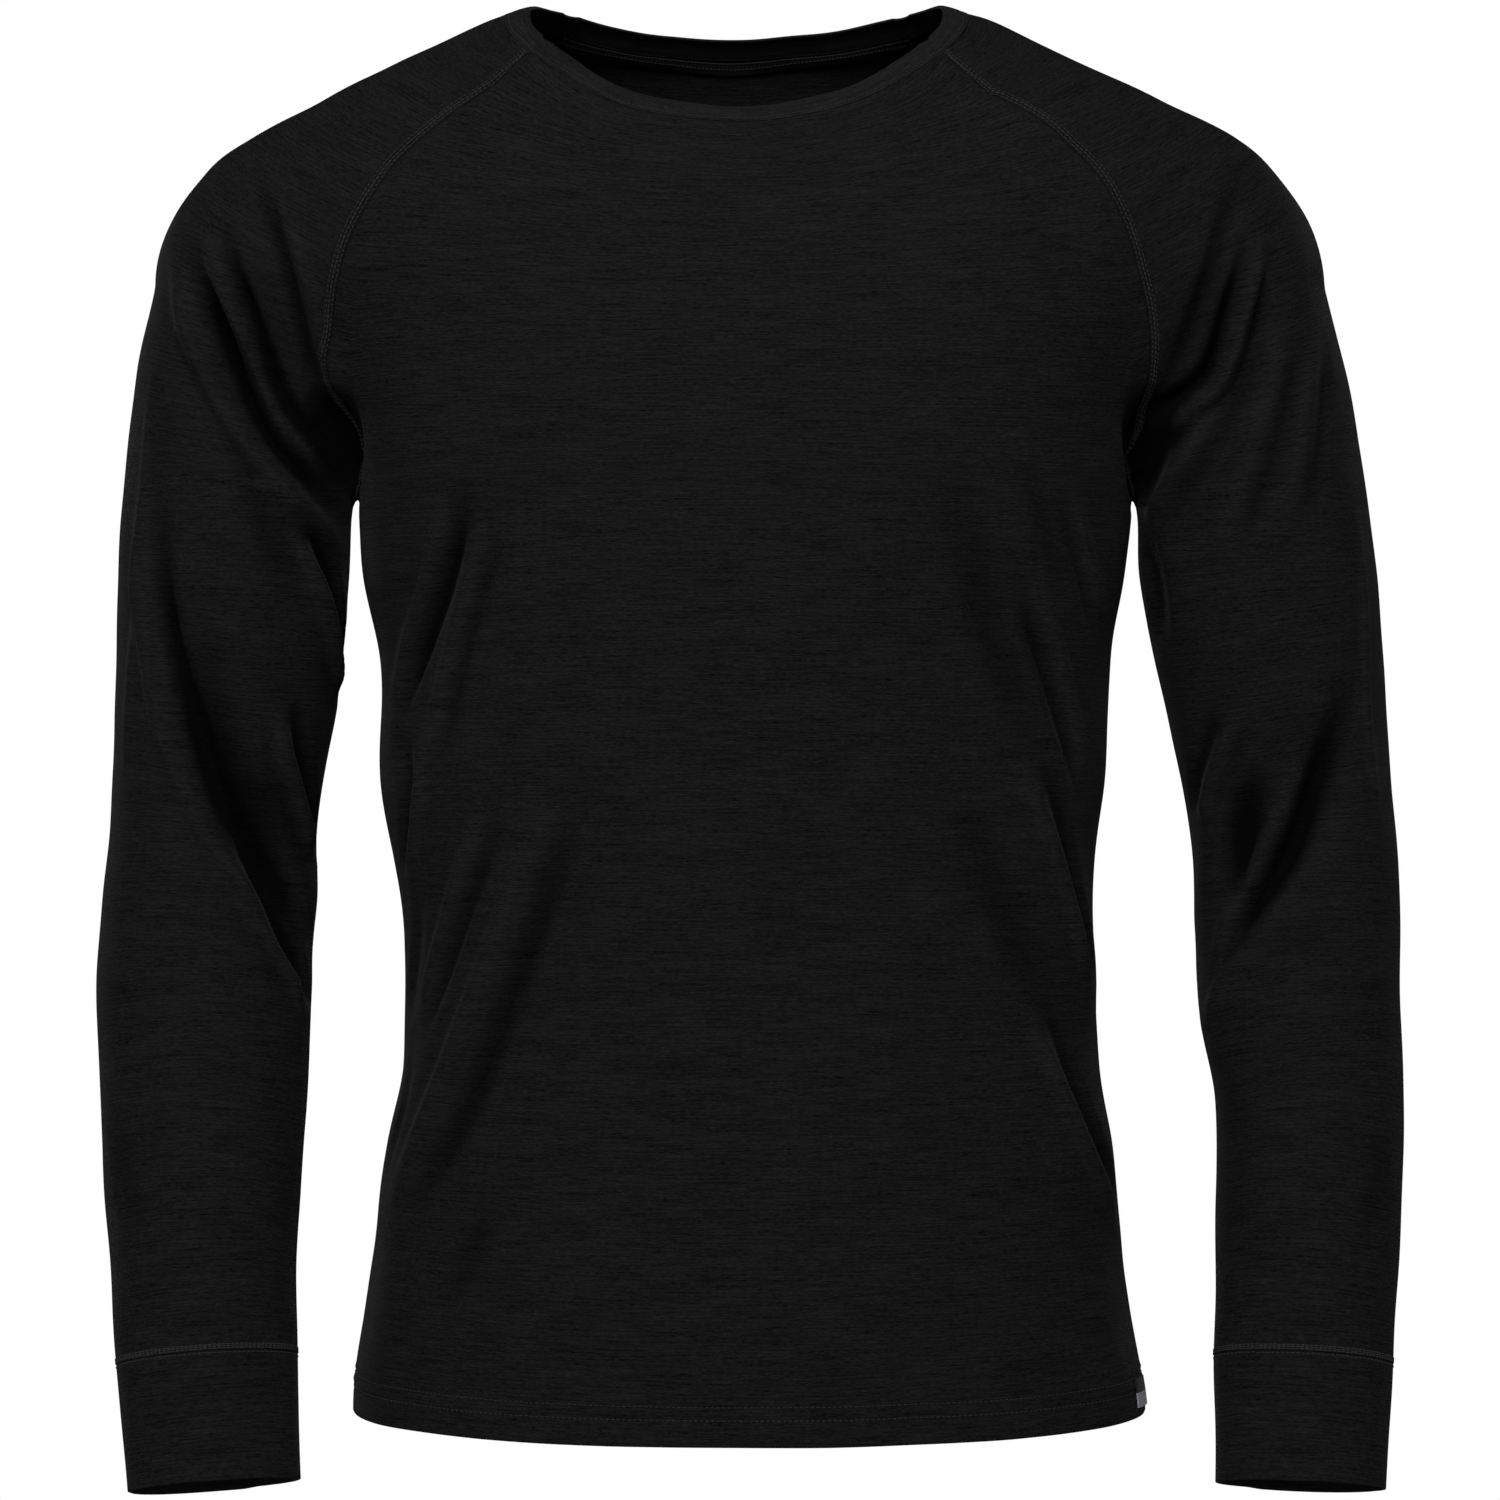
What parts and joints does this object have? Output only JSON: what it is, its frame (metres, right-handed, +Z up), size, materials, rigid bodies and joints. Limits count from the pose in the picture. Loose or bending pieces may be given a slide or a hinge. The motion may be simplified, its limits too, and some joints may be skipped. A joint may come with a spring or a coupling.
{
  "type": "base layer top",
  "caption": "Long-sleeved knitted base layer top with raglan sleeves, round neckband, separate cuffs and turned-up hem, hollow and open as worn.",
  "frame": {"origin": "middle of the neck opening, level with the shoulder ends of the neck seam, where the wearer's shoulders carry the top", "axes": "+Z up towards the neck, -Y is the front, +X is the side of the wearer's left arm"},
  "size_m": [0.6347, 0.2331, 0.7212],
  "materials": {
    "jersey": "fine black wool jersey, matte",
    "tape": "knitted seam tape, matte",
    "label": "woven label, plain"
  },
  "bodies": {
    "root": {"front_panel": "jersey", "back_panel": "jersey", "sleeve_right": "jersey", "sleeve_left": "jersey", "cuff_right": "jersey", "cuff_left": "jersey", "neckband": "jersey", "neck_tape": "tape", "side_label": "label"}
  },
  "joints": []
}
